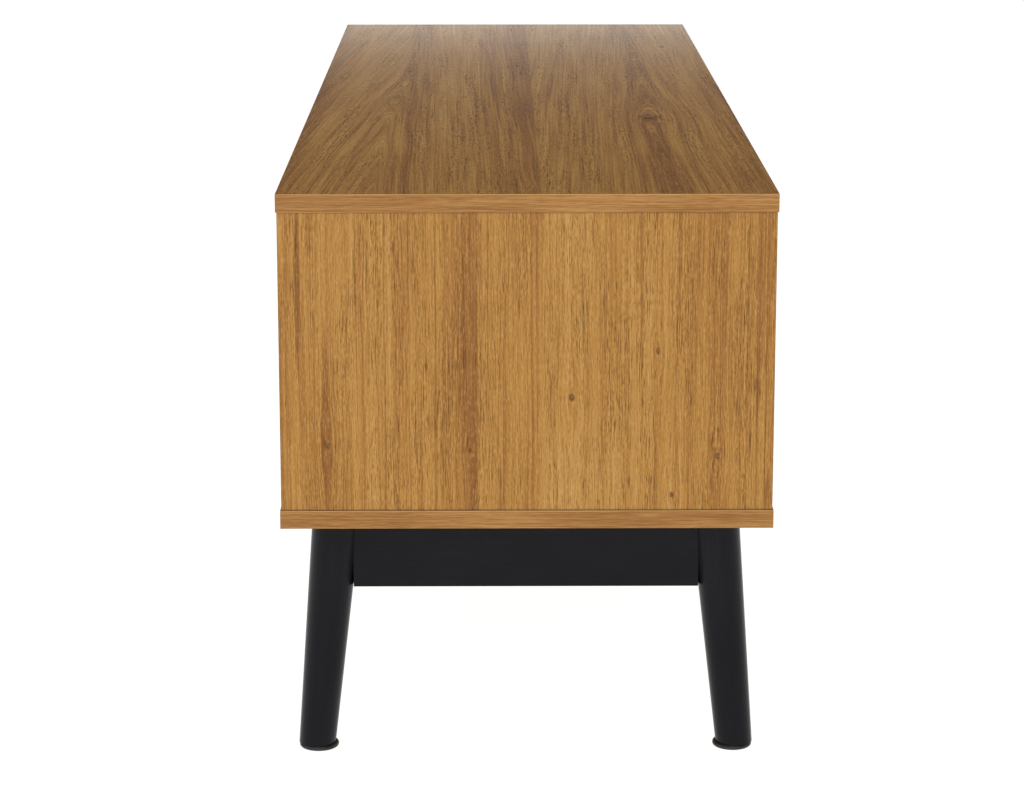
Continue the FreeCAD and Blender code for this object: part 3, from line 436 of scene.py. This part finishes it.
BANDING_BEND = 0.0035
BANDING_GAIN = 5.0
BANDING_DARK = 0.55
BANDING_PALE = 0.30
# How strongly the painted arris lines show: painted highlight on end faces, painted shade on long faces.
PAINTED_ARRIS_DEPTH = 0.62

# Painted arris lines: where the thin painted lines along a band's top and bottom edges begin and end, in
# metres from the edge. They are a painted highlight on the end faces and painted shade on the front and back
# faces. The low line is fainter.
HIGH_PAINTED_ARRIS = (0.0011, 0.0004)
LOW_PAINTED_ARRIS = (0.0007, 0.0002)
LOW_PAINTED_ARRIS_DEPTH = 0.3


def edge_banding(name, shift=0.0, painted_arrises=None):
    """Plain redder banding: fine lines along each edge, whichever way the edge runs.

    Given the heights of its top and bottom edges, it also gets thin painted arris lines there: a painted
    highlight on the end faces and painted shade on the front and back faces.
    """
    graph = Graph(name)
    x, y, z = graph.place()
    end_face = graph.smooth(graph.math("ABSOLUTE", graph.facing()[0]), 0.45, 0.55)
    along = graph.add(graph.mix(end_face, x, y, plain=True), shift)
    through = graph.mix(end_face, y, x, plain=True)
    # Colour of the painted arris lines: cream painted highlight on the end faces, umber painted shade on the
    # front and back faces.
    return banding_from(graph, (along, z, through), painted_arrises, graph.mix(end_face, UMBER, CREAM))


def upright_banding(name, shift):
    """The same banding on upright edges, with its lines running up."""
    graph = Graph(name)
    x, y, z = graph.place()
    return banding_from(graph, (graph.add(z, shift), x, y))


def banding_from(graph, parts, painted_arrises=None, painted_arris_colour=CREAM):
    """Banding from the along, across and through values.

    The heights of its low and high edge, when given, get thin painted lines in the given colour: a painted
    highlight where that colour is pale, painted shade where it is dark.
    """
    along, across, through = parts
    bend = graph.swing(graph.streaks(parts, along=9.0, across=30.0), BANDING_BEND)
    wood = (along, graph.add(across, bend), through)
    cloud = graph.streaks(wood, along=6.0, across=40.0)
    line = graph.streaks(wood, along=12.0, across=680.0, detail=3.0, rough=0.6)
    dash = graph.streaks(wood, along=64.0, across=1150.0, rough=0.6)
    colour = graph.ramp(graph.add(graph.times(cloud, 0.45), graph.times(line, 0.85)), BANDING_COLOURS)
    dark = graph.below(dash, 0.48, BANDING_GAIN)
    pale = graph.above(dash, 0.54, BANDING_GAIN)
    colour = graph.mix(graph.times(dark, BANDING_DARK), colour, BARK)
    colour = graph.mix(graph.times(pale, BANDING_PALE), colour, CREAM)
    # Painted arris lines along the top and bottom edges: painted highlight where the given colour is pale,
    # painted shade where it is dark.
    if painted_arrises:
        low, high = painted_arrises
        painted_arris = graph.larger(graph.smooth(across, high - HIGH_PAINTED_ARRIS[0], high - HIGH_PAINTED_ARRIS[1]),
                           graph.smooth(across, low + LOW_PAINTED_ARRIS[0], low + LOW_PAINTED_ARRIS[1], 0.0, LOW_PAINTED_ARRIS_DEPTH))
        colour = graph.mix(graph.times(painted_arris, PAINTED_ARRIS_DEPTH), colour, painted_arris_colour)
    height = graph.add(graph.times(line, 0.6), graph.times(dash, 0.4))
    roughness = graph.add(0.34, graph.times(line, 0.16))
    relief = graph.bump(height, distance=0.00010, strength=0.4)
    return graph.finish(colour, roughness, relief, IOR=1.48, Specular_IOR_Level=0.3)


# Other materials ---------------------------------------------------------------------------

def hardboard_back(name, shift):
    """Back panel: laminate print towards the front, pressed brown fibre towards the back."""
    graph = Graph(name)
    x, y, z = graph.place()
    parts = (graph.add(x, shift), z, y)
    streak = graph.streaks(parts, along=2.4, across=90.0, detail=4.0, rough=0.6)
    pores, _ = open_pores(graph, parts)
    front = graph.mix(graph.times(pores, 0.6), graph.ramp(streak, OAK_BACK_COLOURS), PORE)
    place = graph.combine(x, y, z)
    fleck = graph.noise(place, 900.0, detail=3.0, rough=0.7)
    blotch = graph.noise(place, 14.0, detail=3.0)
    weave = graph.node("ShaderNodeTexVoronoi", {"Vector": place, "Scale": 420.0}).outputs["Distance"]
    rear = graph.ramp(graph.add(graph.times(fleck, 0.6), graph.times(blotch, 0.4)), FIBRE_COLOURS)
    back = graph.smooth(graph.facing()[1], 0.2, 0.4)
    height = graph.times(graph.add(weave, fleck), graph.add(back, 0.12))
    roughness = graph.add(0.44, graph.times(back, 0.34))
    relief = graph.bump(height, distance=0.00018, strength=0.6)
    return graph.finish(graph.mix(back, front, rear), roughness, relief)


def black_lacquer(name, grain):
    """Satin black lacquer over wood: faint grain, soft mottling and fine dust specks."""
    graph = Graph(name)
    place = graph.place()
    parts = [place[axis] for axis in GRAIN[grain]]
    pore = graph.streaks(parts, along=26.0, across=520.0, detail=3.0, rough=0.6)
    cloud = graph.streaks(parts, along=9.0, across=22.0, detail=3.0)
    peel = graph.noise(graph.combine(*place), 700.0)
    speck = graph.smooth(graph.noise(graph.combine(*place), 1500.0, detail=1.0), 0.74, 0.80)
    colour = graph.ramp(graph.add(graph.times(cloud, 0.6), graph.times(pore, 0.4)), LACQUER_COLOURS)
    colour = graph.mix(graph.times(speck, 0.35), colour, DUST)
    height = graph.add(graph.times(pore, 0.7), graph.times(peel, 0.3))
    roughness = graph.add(0.24, graph.times(cloud, 0.12))
    relief = graph.bump(height, distance=0.00010, strength=0.45)
    return graph.finish(colour, roughness, relief, IOR=1.5, Specular_IOR_Level=0.13)


def moulded_plastic(name, shades, grain_scale, rough):
    """Moulded plastic with a fine spark-eroded texture. shades: its dark and its light colour."""
    graph = Graph(name)
    place = graph.combine(*graph.place())
    grain = graph.noise(place, grain_scale)
    colour = graph.ramp(graph.noise(place, 60.0), list(zip((0.35, 0.65), shades)))
    roughness = graph.add(rough, graph.times(grain, 0.18))
    return graph.finish(colour, roughness, graph.bump(grain, distance=0.00008, strength=0.5))


def plated_steel(name, shades, rough):
    """Zinc-plated metal: bright, faintly mottled, with fine lines. shades: its dark and its light colour."""
    graph = Graph(name)
    parts = graph.place()
    place = graph.combine(*parts)
    mottle = graph.node("ShaderNodeTexVoronoi", {"Vector": place, "Scale": 520.0}).outputs["Color"]
    mottle = graph.node("ShaderNodeSeparateColor", {0: mottle}).outputs[0]
    lines = graph.streaks(parts, along=60.0, across=2400.0, through=60.0)
    stain = graph.noise(place, 120.0, detail=3.0)
    total = graph.add(graph.times(mottle, 0.35), graph.times(stain, 0.65))
    colour = graph.ramp(total, list(zip((0.25, 0.75), shades)))
    roughness = graph.add(rough, graph.times(lines, 0.20))
    return graph.finish(colour, roughness, graph.bump(lines, distance=0.00005, strength=0.35), Metallic=1.0)


def beech(name):
    """Plain beech for the dowels, with short flecks."""
    graph = Graph(name)
    fleck = graph.streaks(graph.place(), along=240.0, across=240.0, through=60.0, detail=3.0)
    colour = graph.ramp(fleck, BEECH_COLOURS)
    return graph.finish(colour, 0.62, graph.bump(fleck, distance=0.0002, strength=0.5))


def ferrite(name):
    """Dark sintered magnet, slightly chalky."""
    graph = Graph(name)
    grit = graph.noise(graph.combine(*graph.place()), 1800.0, detail=3.0, rough=0.7)
    colour = graph.ramp(grit, FERRITE_COLOURS)
    return graph.finish(colour, 0.7, graph.bump(grit, distance=0.0001, strength=0.7))


# Dress the nodes ---------------------------------------------------------------------------

WELD_GAP = 0.00001
BEVEL_SEGMENTS = 2
BEVEL_ABOVE = math.radians(50)
BAND_ARRIS = 0.0004
RAIL_ARRIS = 0.0008
PLATE_ARRIS = 0.0003


def dress(names, material):
    """Give every material slot of the named nodes one material."""
    for name in names:
        mesh = nodes[name].data
        mesh.materials.clear()
        mesh.materials.append(material)


def soften(names, width):
    """Round the sharp arrises of the named nodes by a fraction of a millimetre."""
    for name in names:
        piece = nodes[name]
        weld = piece.modifiers.new("weld", "WELD")
        weld.merge_threshold = WELD_GAP
        bevel = piece.modifiers.new("arris", "BEVEL")
        bevel.width = width
        bevel.segments = BEVEL_SEGMENTS
        bevel.limit_method = "ANGLE"
        bevel.angle_limit = BEVEL_ABOVE
        bevel.harden_normals = False


def ending(*endings):
    """Names of the nodes that end in one of these words."""
    return [name for name in nodes if name.endswith(endings)]


def dress_right_side():
    """The end in the photo: six small knots, a few streaks and a crinkled patch."""
    low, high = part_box("right_side_panel")
    knots = [
        (0.280, -0.160, 0.0028, 0.0015, 0.006), (0.276, -0.046, 0.0020, 0.0012, 0.006),
        (0.320, 0.036, 0.0034, 0.0020, 0.009), (0.358, 0.105, 0.0034, 0.0014, 0.006),
        (0.271, 0.154, 0.0030, 0.0017, 0.007), (0.239, 0.117, 0.0024, 0.0012, 0.006),
    ]
    stains = [
        (0.415, -0.183, 0.080, 0.0022, -0.42), (0.290, -0.161, 0.085, 0.0030, -0.36),
        (0.409, -0.137, 0.013, 0.0008, -2.0), (0.250, -0.060, 0.060, 0.0160, 0.12),
        (0.250, 0.045, 0.060, 0.0300, 0.08), (0.420, 0.190, 0.090, 0.0090, -0.16),
    ]
    crinkles = [(0.408, 0.080, 0.042, 0.016, 0.75)]
    # Painted shade along the panel's top and bottom ends, where the top and bottom boards meet it.
    laminate = oak("oak_right_side", "z", END_TONES, knots=knots, crinkles=crinkles, stains=stains,
                   ends=(low[2], high[2]))
    dress(["right_side_panel"], laminate)


def dress_left_side():
    """The other end: another stretch of the same print, with one knot."""
    low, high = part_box("left_side_panel")
    up, over = 2.3, 0.46
    knots = [(up + 0.36, over - 0.02, 0.0030, 0.0016, 0.008)]
    # The ends get the same fine line of painted shade where the top and bottom boards meet the panel.
    ends = (up + low[2], up + high[2])
    dress(["left_side_panel"], oak("oak_left_side", "z", END_TONES, (up, over), knots=knots, ends=ends))


def dress_top():
    """The top: arched grain to each side of the middle seam, three knots and two crinkled stretches."""
    arches = [(-0.118, 0.006, 0.075, 0.012, -0.5, 0.010), (0.124, 0.005, 0.030, 0.012, 0.0115, 0.5)]
    knots = [
        (0.185, 0.124, 0.0110, 0.0026, 0.020), (-0.374, 0.162, 0.0100, 0.0030, 0.010),
        (-0.116, 0.111, 0.0070, 0.0020, 0.008),
    ]
    crinkles = [(0.18, -0.055, 0.42, 0.035, 0.8), (0.42, 0.055, 0.30, 0.040, 0.6)]
    stains = [(0.40, 0.116, 0.26, 0.012, -0.07), (0.10, -0.192, 0.45, 0.008, -0.16)]
    laminate = oak("oak_top", "x", TOP_TONES, wave=0.012, arches=arches, knots=knots, crinkles=crinkles,
                   stains=stains, lined=1.55, dashed=1.1, fading=0.25)
    dress(["top_panel"], laminate)


def dress_doors():
    """Laminate on the doors' fronts and backs, with the grain running across the stand."""
    arches = [(0.02, 0.01, 0.03, 0.05, -0.07, 0.09)]
    for number, name in enumerate(("left_door", "right_door")):
        low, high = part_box(name)
        slide = (0.6 + 9.7 * number, 0.31 - (low[2] + high[2]) / 2)
        knots = [(slide[0] + 0.33, 0.045, 0.0070, 0.003, 0.014)]
        dress([name], oak(f"oak_{name}", "door", TOP_TONES, slide, WIDE_WAVE, arches, knots))


def dress_inner_boards():
    """The bottom, the dividers, the shelves and the back panels, each with its own stretch of the print."""
    bottom_arches = [(0.3, 0.01, 0.05, 0.04, 0.2, 0.4)]
    dress(["bottom_panel"], oak("oak_bottom", "x", TOP_TONES, (3.1, 0.27), WIDE_WAVE, bottom_arches))
    for number, name in enumerate(("left_divider", "right_divider")):
        dress([name], oak(f"oak_{name}", "z", END_TONES, (5.2 + number, 0.11 + 0.21 * number)))
    for number, name in enumerate(("left_shelf", "centre_shelf", "right_shelf")):
        dress([name], oak(f"oak_{name}", "x", TOP_TONES, (7.4 + number, 0.17 + 0.13 * number), WIDE_WAVE))
    for number, name in enumerate(("left_back_panel", "centre_back_panel", "right_back_panel")):
        dress([name], hardboard_back(f"hardboard_{name}", 2.1 * number))


def dress_bands():
    """Edge banding on every board, each with its own stretch of the pattern."""
    # The top and bottom bands get painted arris lines: painted highlight on their end faces, painted shade
    # on their front and back faces.
    for number, name in enumerate(("top_panel_edge_band", "bottom_panel_edge_band")):
        low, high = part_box(name)
        dress([name], edge_banding(f"banding_{name}", 3.3 * number, (low[2], high[2])))
    for number, name in enumerate(("left_shelf", "centre_shelf", "right_shelf")):
        dress([f"{name}_edge_band"], edge_banding(f"banding_{name}", 5.0 + number))
    for number, name in enumerate(("left_door", "right_door")):
        dress([f"{name}_edge_band"], edge_banding(f"banding_{name}", 9.0 + number))
    for number, name in enumerate(("left_side_panel", "right_side_panel", "left_divider", "right_divider")):
        dress([f"{name}_edge_band"], upright_banding(f"banding_{name}", 12.0 + number))
    soften(ending("_edge_band"), BAND_ARRIS)


def dress_base():
    """Black lacquer on the legs and rails, black plastic glides and catch housings."""
    dress(ending("_leg"), black_lacquer("lacquer_leg", "z"))
    dress(ending("_end_rail"), black_lacquer("lacquer_rail", "y"))
    dress(ending("_glide", "_housing"), moulded_plastic("black_plastic", BLACK_PLASTIC, 1300.0, rough=0.42))
    soften(ending("_end_rail", "_housing"), RAIL_ARRIS)


def dress_fittings():
    """Metal, nylon and wooden fittings."""
    steel = plated_steel("zinc_plated_steel", ZINC_PLATE, rough=0.30)
    dress(ending("_pins", "_bolts", "_brackets", "_nuts", "_pole_plates", "_screws", "_strike_plate"), steel)
    dress(["cam_locks"], plated_steel("die_cast_zinc", CAST_ZINC, rough=0.42))
    dress(["catch_magnets"], ferrite("ferrite"))
    dress(["pivot_bushes"], moulded_plastic("nylon", NYLON, 900.0, rough=0.36))
    dress(["panel_dowels", "rail_dowels"], beech("beech"))
    soften(["angle_brackets", "left_strike_plate", "right_strike_plate"], PLATE_ARRIS)


# Stage, light and camera -------------------------------------------------------------------

FLOOR_REACH = 30.0
FLOOR_GLOW = 0.93

# The surround's strength near the horizon and overhead, and the sines of the elevation where it changes.
SURROUND_LOW = 0.03
SURROUND_HIGH = 0.30
SURROUND_STEP = (0.22, 0.60)

# Each light: name, place, target, width and height in metres, power in watts, colour.
STAND_MIDDLE = (0.0, 0.0, 0.3)
LIGHTS = [
    ("end_light", (4.2, -0.6, 1.3), STAND_MIDDLE, 2.4, 2.4, 42.0, WHITE),
    ("front_light", (0.6, -4.0, 1.8), STAND_MIDDLE, 2.2, 2.2, 30.0, WHITE),
    ("rear_light", (-2.2, 3.6, 1.4), STAND_MIDDLE, 2.2, 2.2, 24.0, WHITE),
    ("top_light", (0.4, 0.0, 3.4), STAND_MIDDLE, 2.6, 2.6, 31.0, WHITE),
    ("leg_strip", (3.3, 0.75, 0.45), (0.55, 0.0, 0.15), 0.07, 1.4, 2.2, WHITE),
    ("low_strip", (-0.85, 0.0, 0.525), (0.0, 0.0, 0.525), 1.2, 0.07, 0.28, WARM_WHITE),
]

CAMERA_PLACE = (2.874, -0.028, 0.875)
CAMERA_TILT = math.radians(12.0)
CAMERA_TURN = math.radians(-0.4)
CAMERA_LENS = 102.4
CAMERA_SENSOR = 36.0
CAMERA_SHIFT = -0.08


def floor():
    """Large pale floor at the feet, which glows faintly so that it looks nearly white."""
    mesh = bpy.data.meshes.new("floor")
    corners = [(x * FLOOR_REACH, y * FLOOR_REACH, 0) for x, y in ((-1, -1), (1, -1), (1, 1), (-1, 1))]
    mesh.from_pydata([Vector(corner) for corner in corners], [], [(0, 1, 2, 3)])
    piece = bpy.data.objects.new("floor", mesh)
    bpy.context.scene.collection.objects.link(piece)
    piece.location.z = cad_low.z
    graph = Graph("pale_floor")
    colour = graph.ramp(graph.noise(graph.combine(*graph.place()), 3.0), FLOOR_GREYS)
    glow = {"Emission_Color": (*WHITE, 1.0), "Emission_Strength": FLOOR_GLOW}
    mesh.materials.append(graph.finish(colour, 0.9, **glow))


def area_light(name, location, target, width, height, power, colour):
    """Soft rectangular light that points at a target."""
    data = bpy.data.lights.new(name, "AREA")
    data.shape = "RECTANGLE"
    data.size = width
    data.size_y = height
    data.energy = power
    data.color = colour
    lamp = bpy.data.objects.new(name, data)
    lamp.location = location
    lamp.rotation_mode = "QUATERNION"
    lamp.rotation_quaternion = (Vector(target) - Vector(location)).to_track_quat("-Z", "Y")
    lamp.visible_camera = False
    bpy.context.scene.collection.objects.link(lamp)


def surround():
    """World that the camera sees as white, and that lights the stand dimly, more from overhead."""
    world = bpy.data.worlds.new("surround")
    world.use_nodes = True
    tree = world.node_tree
    background = tree.nodes["Background"]
    background.inputs["Color"].default_value = (*WHITE, 1.0)

    def ranged(value, from_range, to_range, kind):
        step = tree.nodes.new("ShaderNodeMapRange")
        step.interpolation_type = kind
        for key, number in zip(("From Min", "From Max", "To Min", "To Max"), from_range + to_range):
            step.inputs[key].default_value = number
        tree.links.new(value, step.inputs["Value"])
        return step

    direction = tree.nodes.new("ShaderNodeSeparateXYZ")
    tree.links.new(tree.nodes.new("ShaderNodeTexCoord").outputs["Generated"], direction.inputs[0])
    strength = ranged(direction.outputs[2], SURROUND_STEP, (SURROUND_LOW, SURROUND_HIGH), "SMOOTHSTEP")
    to_camera = tree.nodes.new("ShaderNodeLightPath").outputs["Is Camera Ray"]
    seen = ranged(to_camera, (0.0, 1.0), (0.0, 1.0), "LINEAR")
    tree.links.new(strength.outputs["Result"], seen.inputs["To Min"])
    tree.links.new(seen.outputs["Result"], background.inputs["Strength"])
    bpy.context.scene.world = world


def studio():
    """White background, soft lights on the top, the right end, the front and the back, and two strips.

    One strip gives the legs a thin highlight. The other lies low beyond the far end and gives the top its
    sheen.
    """
    surround()
    bpy.context.scene.view_settings.view_transform = "Standard"
    for light in LIGHTS:
        area_light(*light)


def camera():
    """Camera in front of the right end, looking along the stand and a little down."""
    data = bpy.data.cameras.new("camera")
    data.sensor_width = CAMERA_SENSOR
    data.lens = CAMERA_LENS
    data.shift_y = CAMERA_SHIFT
    piece = bpy.data.objects.new("camera", data)
    piece.location = CAMERA_PLACE
    level = math.cos(CAMERA_TILT)
    look = (-level * math.cos(CAMERA_TURN), -level * math.sin(CAMERA_TURN), -math.sin(CAMERA_TILT))
    piece.rotation_mode = "QUATERNION"
    piece.rotation_quaternion = Vector(look).to_track_quat("-Z", "Y")
    bpy.context.scene.collection.objects.link(piece)
    bpy.context.scene.camera = piece


dress_right_side()
dress_left_side()
dress_top()
dress_inner_boards()
dress_doors()
dress_bands()
dress_base()
dress_fittings()
floor()
studio()
camera()
